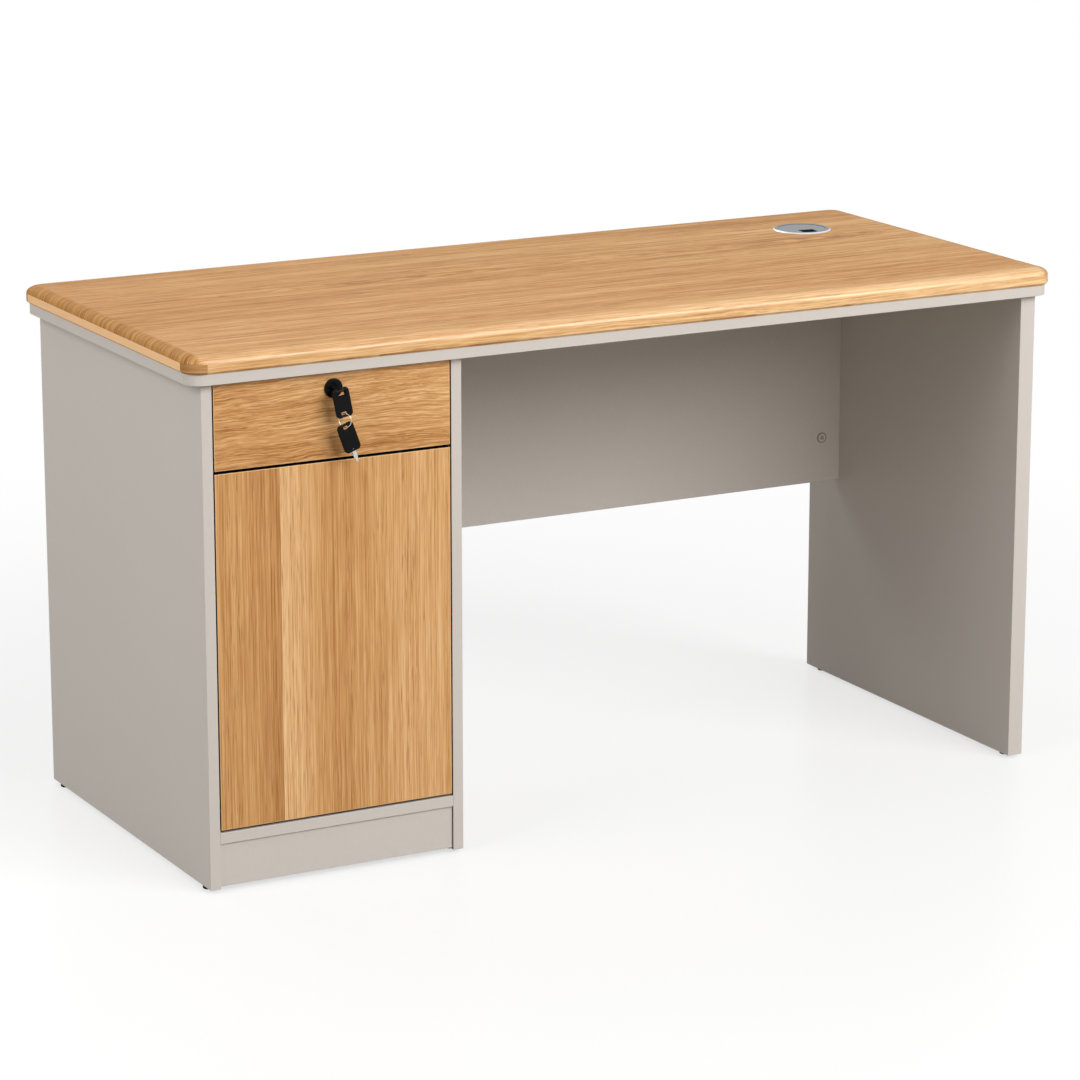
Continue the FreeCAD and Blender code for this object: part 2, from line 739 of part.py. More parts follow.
def add_latch_lug(y, z):
    """A lug above the latch body, with the screw that holds it to the panel."""
    face = x_inner_in - latch_lug_thickness
    low = (face, y - screw_head_radius, z)
    lug = box(low, (x_inner_in, y + screw_head_radius, z + latch_lug_height))
    pieces["push_latch_body"] = joined([pieces["push_latch_body"], lug])
    seat = (face, y, z + latch_lug_height / 2)
    screw("cabinet_screws", seat, (1, 0, 0), ("pedestal_inner_panel", "push_latch_body"))


# Lock

def make_lock():
    x, y, z = lock_x, y_front, lock_z
    face = rod((x, y, z), (0, -1, 0), lock_face_radius, lock_face_thickness)
    rim = [e for e in face.Edges if e.BoundBox.YMax < y - lock_face_thickness / 2]
    face = face.makeFillet(lock_face_ease, rim)
    barrel = rod((x, y, z), (0, 1, 0), lock_barrel_radius, lock_barrel_length)
    bore_radius = lock_plug_radius + lock_plug_clearance
    bore_length = lock_face_thickness + lock_barrel_length
    bore = rod((x, y - lock_face_thickness, z), (0, 1, 0), bore_radius, bore_length)
    pieces["lock_housing"] = joined([face, barrel]).cut(bore)
    drill("drawer_front", rod((x, y, z), (0, 1, 0), lock_barrel_radius + hole_clearance, board))
    pieces["lock_nut"] = make_nut(x, y_behind_fronts, z)
    plug_start = y - lock_face_thickness - lock_plug_proud
    plug_end = y + lock_barrel_length + lock_cam_gap / 2
    cam_start = y + lock_barrel_length + lock_cam_gap
    cam_end = cam_start + lock_cam_thickness
    plug = rod((x, plug_start, z), (0, 1, 0), lock_plug_radius, plug_end - plug_start)
    half_tail = lock_tail_square / 2
    tail = box((x - half_tail, plug_end, z - half_tail), (x + half_tail, cam_end, z + half_tail))
    keyway = rolled_keyway(plug_start, y + key_blade_in_plug + key_slot_clearance)
    grip = lock_cam_screw_grip
    thread_radius = lock_cam_screw_radius + hole_clearance
    thread_hole = rod((x, cam_end, z), (0, -1, 0), thread_radius, grip + hole_end_room)
    pieces["lock_plug"] = joined([plug, tail]).cut([keyway, thread_hole])
    make_lock_cam(x, z, cam_start, cam_end)
    head = rod((x, cam_end, z), (0, 1, 0), lock_cam_screw_head_radius, lock_cam_screw_head_height)
    shank = rod((x, cam_end, z), (0, -1, 0), lock_cam_screw_radius, grip)
    pieces["lock_cam_screw"] = joined([head, shank])
    make_lock_strike(x, cam_start - lock_cam_gap)


def make_nut(x, y, z):
    corner = lock_nut_flats / math.sqrt(3)
    turns = [math.radians(60 * k) for k in range(7)]
    corners = [Vector(x + corner * math.cos(a), y, z + corner * math.sin(a)) for a in turns]
    hexagon = Part.Face(Part.makePolygon(corners)).extrude(Vector(0, lock_nut_thickness, 0))
    return hexagon.cut(rod((x, y, z), (0, 1, 0), lock_barrel_radius + hole_clearance, lock_nut_thickness))


def make_lock_cam(x, z, start, end):
    """Cam lying to the left, clear of the strike; a quarter turn lifts it behind the strike."""
    half = lock_cam_width / 2
    hub = rod((x, start, z), (0, 1, 0), lock_cam_hub_radius, end - start)
    arm = box((x - lock_cam_length, start, z - half), (x, end, z + half))
    square = lock_tail_square / 2 + hole_clearance
    hole = box((x - square, start, z - square), (x + square, end, z + square))
    pieces["lock_cam"] = joined([hub, arm]).cut(hole)


def make_lock_strike(x, leg_back):
    half = lock_strike_width / 2
    leg_front = leg_back - lock_strike_thickness
    under = z_panel_top - lock_strike_thickness
    plate = box((x - half, leg_front, under), (x + half, leg_front + lock_strike_depth, z_panel_top))
    leg = box((x - half, leg_front, z_panel_top - lock_strike_drop), (x + half, leg_back, z_panel_top))
    pieces["lock_strike"] = joined([plate, leg])
    screw_y = leg_back + (lock_strike_depth - lock_strike_thickness) / 2
    for offset in (-lock_strike_screw_spacing / 2, lock_strike_screw_spacing / 2):
        screw("cabinet_screws", (x + offset, screw_y, under), (0, 0, 1), ("sub_top", "lock_strike"))


# Keys

def rolled_keyway(y_low, y_high):
    """Slot for the key's blade along the lock's axis, rolled with the key."""
    half_width = key_blade_width / 2 + key_slot_clearance
    half_thick = key_blade_thickness / 2 + key_slot_clearance
    keyway = box((-half_width, y_low, -half_thick), (half_width, y_high, half_thick))
    keyway.rotate(Vector(0, 0, 0), Y_AXIS, -key_roll)
    keyway.translate(Vector(lock_x, 0, lock_z))
    return keyway


def key_plate(slot_width, slot_height, slot_shift):
    """Key head hanging from the origin, with the ring's slot and bar at its lower end."""
    half, half_thick = key_head_width / 2, key_head_thickness / 2
    end = key_pin_from_end - key_head_length
    plate = box((-half, -half_thick, end), (half, half_thick, key_pin_from_end))
    plate = plate.makeFillet(key_head_corner, edges_along(plate, Y_AXIS))
    faces = [f for f in plate.Faces if abs(f.normalAt(0, 0).y) > 0.999]
    plate = plate.makeFillet(key_head_ease, [e for f in faces for e in f.Edges])
    bar_z = end + ring_bar_from_end
    left, right = slot_shift - slot_width / 2, slot_shift + slot_width / 2
    slot_top = bar_z + ring_bar_radius + slot_height
    slot = box((left, -half_thick, end - key_head_corner), (right, half_thick, slot_top))
    slot = slot.makeFillet(ring_slot_corner, edges_along(slot, Y_AXIS))
    bar_length = slot_width + 2 * ring_bar_anchor
    bar = rod((left - ring_bar_anchor, 0, bar_z), (1, 0, 0), ring_bar_radius, bar_length)
    return joined([plate.cut(slot), bar])


def key_blade_plate(start, end):
    """Flat blade along +Y with a tapered tip."""
    half, half_tip = key_blade_width / 2, key_blade_tip / 2
    low = -key_blade_thickness / 2
    outline = [
        Vector(-half, start, low),
        Vector(half, start, low),
        Vector(half, end - key_blade_taper, low),
        Vector(half_tip, end, low),
        Vector(-half_tip, end, low),
        Vector(-half, end - key_blade_taper, low),
    ]
    face = Part.Face(Part.makePolygon(outline + outline[:1]))
    return face.extrude(Vector(0, 0, key_blade_thickness))


def make_folding_head():
    half, half_thick = key_head_width / 2, key_head_thickness / 2
    half_notch = key_knuckle_width / 2 + key_notch_clearance
    notch = box((-half_notch, -half_thick, -key_notch_length), (half_notch, half_thick, key_pin_from_end))
    pin_hole = rod((-half, 0, 0), (1, 0, 0), key_pin_radius + hole_clearance / 2, key_head_width)
    return key_plate(key_slot_width, key_slot_height, key_slot_shift).cut([notch, pin_hole])


def make_folding_blade():
    """Blade along +Y, with the neck and the knuckle that the head folds on."""
    half = key_knuckle_width / 2
    knuckle = rod((-half, 0, 0), (1, 0, 0), key_knuckle_radius, key_knuckle_width)
    neck_length = key_reach - lock_face_thickness - lock_plug_proud - key_neck_gap
    half_width, half_thick = key_neck_width / 2, key_neck_thickness / 2
    neck = box((-half_width, 0, -half_thick), (half_width, neck_length, half_thick))
    blade = key_blade_plate(0, key_reach + key_blade_in_plug)
    bore = rod((-half, 0, 0), (1, 0, 0), key_pin_radius + key_pin_clearance, key_knuckle_width)
    return joined([knuckle, neck, blade]).cut(bore)


def make_lock_key():
    pin_length = key_head_width - 2 * key_pin_recess
    blanks = {
        "key_head": make_folding_head(),
        "key_blade": make_folding_blade(),
        "key_pin": rod((-pin_length / 2, 0, 0), (1, 0, 0), key_pin_radius, pin_length),
    }
    for name, shape in blanks.items():
        shape.rotate(Vector(0, 0, 0), Y_AXIS, -key_roll)
        shape.translate(key_pin_place)
        pieces[name] = shape


def ring_bar_drop():
    """Distance from a key head's pin to the bar that the ring passes."""
    return key_head_length - key_pin_from_end - ring_bar_from_end


def ring_centre():
    roll = math.radians(key_roll)
    bar = key_pin_place + Vector(math.sin(roll), 0, -math.cos(roll)) * ring_bar_drop()
    return bar + Vector(0, 0, ring_hang - ring_radius)


def make_ring():
    turn = math.radians(ring_turn)
    normal = Vector(math.cos(turn), math.sin(turn), 0)
    pieces["key_ring"] = Part.makeTorus(ring_radius, ring_wire_radius, ring_centre(), normal)


def make_spare_key():
    """Spare key made like the head of the lock's key, then turned over to hang from the ring."""
    half_width = key_blade_width / 2 + key_slot_clearance
    half_thick = key_blade_thickness / 2 + key_slot_clearance
    root = -spare_blade_root - key_slot_clearance
    pocket = box((-half_width, -half_thick, root), (half_width, half_thick, key_pin_from_end))
    half_head = key_head_thickness / 2
    pin_hole = rod((0, -half_head, 0), (0, 1, 0), key_pin_radius + hole_clearance / 2, key_head_thickness)
    head = key_plate(spare_slot_width, spare_slot_height, 0).cut([pocket, pin_hole])
    blade = key_blade_plate(-spare_blade_root, spare_blade_length)
    blade.rotate(Vector(0, 0, 0), X_AXIS, 90)
    half_pin = half_head - key_pin_recess
    pin = rod((0, -half_pin, 0), (0, 1, 0), key_pin_radius, 2 * half_pin)
    blanks = {"spare_key_head": head, "spare_key_blade": blade.cut(pin_hole), "spare_key_pin": pin}
    wire_bottom = ring_centre() - Vector(0, 0, ring_radius)
    for name, shape in blanks.items():
        shape.rotate(Vector(0, 0, 0), Y_AXIS, 180)
        shape.translate(Vector(0, 0, ring_hang - ring_bar_drop()))
        shape.rotate(Vector(0, 0, 0), Y_AXIS, -spare_tilt)
        shape.translate(wire_bottom)
        pieces[name] = shape


# Cable grommet

def make_grommet():
    x, y = grommet_x, grommet_y
    seat = desk_height - grommet_rebate
    for name, low, high in (("worktop", z_top, desk_height), ("sub_top", z_panel_top, z_top)):
        drill(name, rod((x, y, low), (0, 0, 1), grommet_hole_radius, high - low))
    drill("worktop", rod((x, y, seat), (0, 0, 1), grommet_flange_radius + grommet_fit, grommet_rebate))
    outer = grommet_hole_radius - grommet_fit
    inner = outer - grommet_wall
    sleeve = rod((x, y, seat - grommet_depth), (0, 0, 1), outer, grommet_depth)
    flange = rod((x, y, seat), (0, 0, 1), grommet_flange_radius, grommet_flange_height)
    rim = [e for e in flange.Edges if e.BoundBox.ZMin > seat + grommet_flange_height / 2]
    flange = flange.makeChamfer(grommet_flange_bevel, rim)
    crown = seat + grommet_flange_height
    cap_top = crown - grommet_cap_gap
    cap_low = cap_top - grommet_cap_thickness
    ledge_top = cap_low - grommet_cap_gap
    ledge_low = ledge_top - grommet_ledge_height
    upper = rod((x, y, ledge_top), (0, 0, 1), inner, crown - ledge_top)
    throat = rod((x, y, ledge_low), (0, 0, 1), inner - grommet_ledge_width, grommet_ledge_height)
    lower = rod((x, y, seat - grommet_depth), (0, 0, 1), inner, ledge_low - seat + grommet_depth)
    pieces["grommet_liner"] = joined([sleeve, flange]).cut([upper, throat, lower])
    cap = rod((x, y, cap_low), (0, 0, 1), inner - grommet_cap_gap, grommet_cap_thickness)
    half, notch_end = grommet_notch_width / 2, y - grommet_notch_from_centre
    notch = box((x - half, y - grommet_flange_radius, ledge_top), (x + half, notch_end, crown))
    notch = notch.makeFillet(grommet_notch_corner, edges_along(notch, Z_AXIS))
    notch.rotate(Vector(x, y, 0), Z_AXIS, grommet_notch_turn)
    cap = cap.cut(notch)
    upper_rims = [e for e in cap.Edges if e.BoundBox.ZMin > cap_top - hole_clearance]
    pieces["grommet_cap"] = cap.makeFillet(grommet_cap_ease, upper_rims)


def build():
    make_worktop()
    make_sub_top()
    make_panels()
    make_pedestal_boards()
    make_modesty_panel()
    make_cam_fitting()
    make_worktop_screws()
    make_drawer()
    make_slides()
    make_door()
    make_push_latch()
    make_lock()
    make_lock_key()
    make_ring()
    make_spare_key()
    make_grommet()


def write_parts():
    os.makedirs("parts", exist_ok=True)
    for name, shape in pieces.items():
        tools = holes.get(name, [])
        finished = shape.cut(tools) if tools else shape
        finished.exportStep("parts/" + name + ".step")
    for name, solids in groups.items():
        Part.makeCompound(solids).exportStep("parts/" + name + ".step")


build()
write_parts()
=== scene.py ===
import json
import math
from collections import namedtuple

import bmesh
import bpy
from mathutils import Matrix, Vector


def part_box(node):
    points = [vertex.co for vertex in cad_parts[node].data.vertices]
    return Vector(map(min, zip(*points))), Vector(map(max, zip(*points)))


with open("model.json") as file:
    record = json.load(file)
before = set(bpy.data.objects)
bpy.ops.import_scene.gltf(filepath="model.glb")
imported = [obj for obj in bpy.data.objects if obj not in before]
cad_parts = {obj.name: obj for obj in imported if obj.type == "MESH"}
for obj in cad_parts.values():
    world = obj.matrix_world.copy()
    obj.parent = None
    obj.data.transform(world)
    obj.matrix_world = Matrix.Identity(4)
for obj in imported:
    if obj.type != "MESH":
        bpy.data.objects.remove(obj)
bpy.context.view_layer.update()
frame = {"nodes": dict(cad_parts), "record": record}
nodes = frame["nodes"]

# Places taken from the frame, in metres
worktop_low, worktop_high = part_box("worktop")
drawer_low, drawer_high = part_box("drawer_front")
door_low, door_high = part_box("cabinet_door")
inner_panel_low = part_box("pedestal_inner_panel")[0]
cap_low, cap_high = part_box("cam_cover_cap")
grommet_low, grommet_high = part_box("grommet_liner")
grommet_centre = (grommet_low + grommet_high) / 2

# Middle of a noise's values, the range that most of them keep to, and the detail of a fine noise
NOISE_MIDDLE = 0.5
NOISE_RANGE = (0.3, 0.7)
FINE_DETAIL = 3.0


class Shader:
    """A node material, built socket by socket."""

    def __init__(self, name):
        self.material = bpy.data.materials.new(name)
        self.material.use_nodes = True
        self.tree = self.material.node_tree
        self.surface = self.tree.nodes["Principled BSDF"]

    def feed(self, socket, value):
        """Links a socket to the value, or sets it to a plain number or colour."""
        if isinstance(value, bpy.types.NodeSocket):
            self.tree.links.new(value, socket)
        else:
            socket.default_value = value

    def add(self, kind, inputs=None, **settings):
        node = self.tree.nodes.new("ShaderNode" + kind)
        for key, value in settings.items():
            setattr(node, key, value)
        for key, value in (inputs or {}).items():
            self.feed(node.inputs[key], value)
        return node

    def math(self, operation, first, second=0.0, clamp=False):
        node = self.add("Math", {0: first, 1: second}, operation=operation, use_clamp=clamp)
        return node.outputs[0]

    def axes(self):
        """X, Y and Z of the object at rest, in metres."""
        place = self.add("TexCoord").outputs["Object"]
        return self.add("SeparateXYZ", {0: place}).outputs

    def facing(self):
        """X, Y and Z of the surface's direction, in the object's axes at rest."""
        way = self.add("TexCoord").outputs["Normal"]
        return self.add("SeparateXYZ", {0: way}).outputs

    def vector(self, x, y, z=0.0):
        return self.add("CombineXYZ", {0: x, 1: y, 2: z}).outputs[0]

    def stretched(self, coordinates, scales):
        """Two or three coordinates multiplied axis by axis, as a vector."""
        return self.vector(*[self.math("MULTIPLY", c, s) for c, s in zip(coordinates, scales)])

    def noise(self, vector, scale=1.0, detail=2.0, roughness=0.5):
        inputs = {"Vector": vector, "Scale": scale, "Detail": detail, "Roughness": roughness}
        return self.add("TexNoise", inputs).outputs["Fac"]

    def spread(self, value, low, high, to_low=0.0, to_high=1.0):
        """Maps the range low..high to another one, clamped."""
        inputs = {"Value": value, "From Min": low, "From Max": high, "To Min": to_low, "To Max": to_high}
        return self.add("MapRange", inputs, clamp=True).outputs["Result"]

    def graded(self, noise, low=0.0, high=1.0):
        """Maps the usual range of a noise to low..high."""
        return self.spread(noise, *NOISE_RANGE, low, high)

    def mix(self, factor, first, second):
        """Straight mix of two colours."""
        node = self.add("Mix", {0: factor, 6: first, 7: second}, data_type="RGBA")
        return node.outputs[2]

    def blend(self, factor, first, second):
        """Straight mix of two numbers."""
        node = self.add("Mix", {0: factor, 2: first, 3: second}, data_type="FLOAT")
        return node.outputs[0]

    def ramp(self, factor, stops):
        node = self.add("ValToRGB", {0: factor})
        elements = node.color_ramp.elements
        while len(elements) < len(stops):
            elements.new(0.5)
        for element, (position, colour) in zip(elements, stops):
            element.position = position
            element.color = colour
        return node.outputs["Color"]

    def bump(self, height, distance, strength):
        inputs = {"Height": height, "Distance": distance, "Strength": strength}
        normal = self.add("Bump", inputs).outputs["Normal"]
        self.feed(self.surface.inputs["Normal"], normal)

    def set(self, **values):
        """Sets the surface's sockets, with underscores for spaces in their names."""
        for name, value in values.items():
            self.feed(self.surface.inputs[name.replace("_", " ")], value)


def srgb(red, green, blue):
    """A colour as a screen shows it, 0 to 255, in linear light."""
    linear = []
    for part in (red, green, blue):
        share = part / 255
        linear.append(share / 12.92 if share <= 0.04045 else ((share + 0.055) / 1.055) ** 2.4)
    return (*linear, 1.0)


def from_centre(s, centre, first, second):
    """Distance from a centre in the plane of two coordinates, given with the centre's own."""
    apart = [s.math("SUBTRACT", place, middle) for place, middle in zip((first, second), centre)]
    return s.math("SQRT", s.math("ADD", *[s.math("MULTIPLY", a, a) for a in apart]))


# Oak woodgrain laminate

OAK_DARK = srgb(163, 110, 58)
OAK_BROWN = srgb(194, 141, 87)
OAK_MIDDLE = srgb(211, 160, 105)
OAK_LIGHT = srgb(227, 182, 130)
OAK_PALE = srgb(241, 202, 152)
OAK_PORE = srgb(143, 94, 50)
OAK_TONES = [(0.06, OAK_DARK), (0.30, OAK_BROWN), (0.50, OAK_MIDDLE), (0.72, OAK_LIGHT), (0.96, OAK_PALE)]
OAK_MIDDLE_TONE = 0.5
OAK_ROUGHNESS = (0.52, 0.64)
OAK_SHEEN = 0.10

# Relief, here and below: depth in metres and strength; the streaks rise by a share of the pores' depth
OAK_RELIEF = (0.00015, 0.5)
STREAK_RISE = 0.35

# Sway of the grain: waves per metre along and across it, and the ripple's share of the sway
SLOW_WAVES = (1.7, 5.0)
RIPPLE_WAVES = (10.0, 28.0)
RIPPLE_SHARE = 0.22
HEART_DEPTH = 0.025

# Streaks: waves per metre along the grain, across the rings and round the heart, the noise's detail and
# roughness, how far the noise strays from its middle, and the streaks' share in the tone
Streaks = namedtuple("Streaks", "waves detail roughness reach weight")
BROAD = Streaks((0.5, 10.0, 4.0), 2.0, 0.5, 0.18, 0.20)
MEDIUM = Streaks((1.3, 62.0, 6.0), 3.0, 0.6, 0.18, 0.18)
THIN = Streaks((3.2, 300.0, 20.0), 3.0, 0.65, 0.12, 0.30)
FINE = Streaks((16.0, 640.0, 60.0), 2.0, 0.6, 0.12, 0.34)

# Pores: dashes of noise above a threshold, only where the medium streaks are dark
PORE_WAVES = (34.0, 820.0, 90.0)
PORE_DETAIL = 1.0
PORE_DASHES = (0.58, 0.68)
PORE_PLACES = (0.62, 0.44)
PORE_STRENGTH = 0.55


def oak_grain(s, along, across, seed, heart, tilt=0.03, sway=0.02, length=1.0, bias=0.0, contrast=1.0):
    """Oak colour, pore mask and thin streaks.

    The streaks follow the rings of a log whose heart runs along the grain at the place heart,
    below the surface and tilted, so that they arch over it and lie straight at its sides.
    """
    run = s.math("MULTIPLY", along, length)
    moved = s.math("ADD", across, seed)
    slow = s.noise(s.stretched((run, moved), SLOW_WAVES))
    ripple = s.noise(s.stretched((run, moved), RIPPLE_WAVES))
    drift = s.math("MULTIPLY", s.math("SUBTRACT", slow, NOISE_MIDDLE), sway)
    waver = s.math("MULTIPLY", s.math("SUBTRACT", ripple, NOISE_MIDDLE), sway * RIPPLE_SHARE)
    side = s.math("ADD", s.math("SUBTRACT", across, heart), s.math("ADD", drift, waver))
    below = s.math("ADD", s.math("MULTIPLY", along, tilt), HEART_DEPTH)
    ring = s.math("SQRT", s.math("ADD", s.math("MULTIPLY", side, side), s.math("MULTIPLY", below, below)))
    log = (run, ring, s.math("ADD", side, seed))

    tone = s.math("ADD", bias, OAK_MIDDLE_TONE)
    masks = {}
    for kind in (BROAD, MEDIUM, THIN, FINE):
        mask = s.noise(s.stretched(log, kind.waves), detail=kind.detail, roughness=kind.roughness)
        low, high = NOISE_MIDDLE - kind.reach, NOISE_MIDDLE + kind.reach
        swing = kind.weight * contrast / 2
        tone = s.math("ADD", tone, s.spread(mask, low, high, -swing, swing))
        masks[kind] = mask
    colour = s.ramp(tone, OAK_TONES)

    dashes = s.noise(s.stretched(log, PORE_WAVES), detail=PORE_DETAIL)
    pores = s.math("MULTIPLY", s.spread(dashes, *PORE_DASHES), s.spread(masks[MEDIUM], *PORE_PLACES))
    colour = s.mix(s.math("MULTIPLY", pores, PORE_STRENGTH), colour, OAK_PORE)
    return colour, pores, masks[THIN]


def finish_oak(s, colour, pores, streaks):
    s.set(Base_Color=colour, Roughness=s.graded(streaks, *OAK_ROUGHNESS), Specular_IOR_Level=OAK_SHEEN)
    relief = s.math("SUBTRACT", s.math("MULTIPLY", streaks, STREAK_RISE), pores)
    s.bump(relief, *OAK_RELIEF)


# Drawer front and door: a pale arris, with a painted highlight on the edge band's paler wood, and painted
# shade on the edges behind it, where the gaps are

# Painted shade: near-black for the edges seen through the gaps between the fronts
PAINTED_GAP_SHADE = srgb(22, 18, 15)
ARRIS = 0.0010
ARRIS_STRENGTH = 0.55
SIDEWAYS = 0.5


def edge_line(s, coordinate, low, high, width):
    """1 within a band of that width along both ends of a coordinate's range."""
    middle, half = (low + high) / 2, (high - low) / 2
    distance = s.math("ABSOLUTE", s.math("SUBTRACT", coordinate, middle))
    return s.math("GREATER_THAN", distance, half - width)


def finish_front(s, low, high, grain):
    """Pale arris with a painted highlight, and edges in near-black painted shade, round a front whose grain
    has been laid.
    """
    colour, pores, streaks = grain
    x, y, z = s.axes()
    # Pale oak along the arris: the edge band's paler wood, with a painted highlight on it
    band = s.math("MAXIMUM", edge_line(s, x, low.x, high.x, ARRIS), edge_line(s, z, low.z, high.z, ARRIS))
    colour = s.mix(s.math("MULTIPLY", band, ARRIS_STRENGTH), colour, OAK_PALE)
    # Painted shade: near-black on the edges behind the arris, where the gaps between the fronts lie
    on_edge = s.math("LESS_THAN", s.math("ABSOLUTE", s.facing()[1]), SIDEWAYS)
    behind = s.math("GREATER_THAN", y, low.y + ARRIS)
    colour = s.mix(s.math("MULTIPLY", on_edge, behind), colour, PAINTED_GAP_SHADE)
    finish_oak(s, colour, pores, streaks)
    return s.material


# The drawer's grain: its tone from left to right, and the heart's distance below the front
DRAWER_TONES = (-0.18, -0.06)
DRAWER_HEART = 0.03
DRAWER_GRAIN = {"seed": 0.7, "tilt": 0.05, "sway": 0.030, "length": 2.0}


def drawer_oak():
    """Grain across the drawer front, short and wavy."""
    s = Shader("drawer_oak")
    x, _, z = s.axes()
    bias = s.spread(x, drawer_low.x, drawer_high.x, *DRAWER_TONES)
    grain = oak_grain(s, x, z, heart=drawer_low.z - DRAWER_HEART, bias=bias, **DRAWER_GRAIN)
    return finish_front(s, drawer_low, drawer_high, grain)


# The door's boards: where each fades in, as shares of the door's width, and how much lighter it is
DARK_BOARD = (0.08, 0.24)
DARK_BOARD_TONE = -0.15
DOOR_SEAM = 0.27
BRIGHT_BOARD = (0.46, 0.33)
BRIGHT_BOARD_TONE = 0.33
RIGHT_BOARD = (0.60, 0.74)
RIGHT_BOARD_TONE = 0.11
DOOR_TONE = -0.08

# The door's grain, and the heart's distance from its left edge
DOOR_HEART = 0.25
DOOR_GRAIN = {"seed": 1.9, "sway": 0.008, "length": 0.7, "contrast": 0.72}


def door_oak():
    """Grain down the door: a dark board and a bright one meet near its left side."""
    s = Shader("door_oak")
    x, _, z = s.axes()
    share = s.spread(x, door_low.x, door_high.x)
    dark_board = s.math("MULTIPLY", s.spread(share, *DARK_BOARD), s.math("LESS_THAN", share, DOOR_SEAM))
    bright_board = s.math("MULTIPLY", s.spread(share, *BRIGHT_BOARD), s.math("GREATER_THAN", share, DOOR_SEAM))
    right_board = s.spread(share, *RIGHT_BOARD)
    bias = DOOR_TONE
    for board, tone in ((dark_board, DARK_BOARD_TONE), (bright_board, BRIGHT_BOARD_TONE),
                        (right_board, RIGHT_BOARD_TONE)):
        bias = s.math("ADD", s.math("MULTIPLY", board, tone), bias)
    grain = oak_grain(s, z, x, heart=door_low.x - DOOR_HEART, bias=bias, **DOOR_GRAIN)
    return finish_front(s, door_low, door_high, grain)


# Worktop edge, as it is built, in metres
WORKTOP_CORNER = 0.028
WORKTOP_ROUND_HEIGHT = 0.011
WORKTOP_ROUND_WIDTH = 0.020

# The worktop's grain: its tone from left to right, the painted highlight that makes the rounded long edges
# lighter, and how much lighter the end bands are
WORKTOP_TONES = (-0.11, -0.02)
LONG_EDGE_PAINTED_LIGHT = 0.24
END_BAND_TONE = 0.34
WORKTOP_GRAIN = {"seed": 3.1, "heart": 0.08, "sway": 0.026}

# Gloss of the long edges, where they face upwards
EDGE_ROUGHNESS = 0.30
EDGE_RISE = 0.05

# Cut ends of the grain on the rounding at the worktop's ends, and pale bands below it
END_DARK = srgb(146, 96, 42)
END_MIDDLE = srgb(179, 126, 61)
END_LIGHT = srgb(204, 151, 85)
END_PALE = srgb(255, 208, 156)
END_TONES = [(0.1, END_DARK), (0.5, END_MIDDLE), (0.9, END_LIGHT)]
END_BAND_REACH = 0.002
END_GRAIN_FULL = 0.014
END_ARC = 26.0
END_RING_WAVES = (6.0, 540.0, 10.0)
END_RING_ROUGHNESS = 0.6
END_RING_RANGE = (0.40, 0.60)
END_RING_SHARE = 0.7
END_PATCH_WAVES = (5.0, 60.0, 5.0)
END_PATCH_RANGE = (0.35, 0.65)
END_PATCH_SHARE = 0.3
END_GRAIN_STRENGTH = 0.9
END_BAND_STRENGTH = 0.85
END_CORNER_STRENGTH = 0.5


def end_grain(s, far_x, y, z):
    """Colour of the cut rings, which bend as they run over the rounding."""
    fall = s.math("MAXIMUM", s.math("SUBTRACT", far_x, worktop_high.x - WORKTOP_ROUND_WIDTH), 0.0)
    arc = s.math("ADD", y, s.math("MULTIPLY", s.math("MULTIPLY", fall, fall), END_ARC))
    rings = s.noise(s.stretched((far_x, arc, z), END_RING_WAVES), roughness=END_RING_ROUGHNESS)
    patches = s.noise(s.stretched((far_x, arc, z), END_PATCH_WAVES))
    depth = s.math("ADD", s.math("MULTIPLY", s.spread(rings, *END_RING_RANGE), END_RING_SHARE),
                   s.math("MULTIPLY", s.spread(patches, *END_PATCH_RANGE), END_PATCH_SHARE))
    return s.ramp(depth, END_TONES)


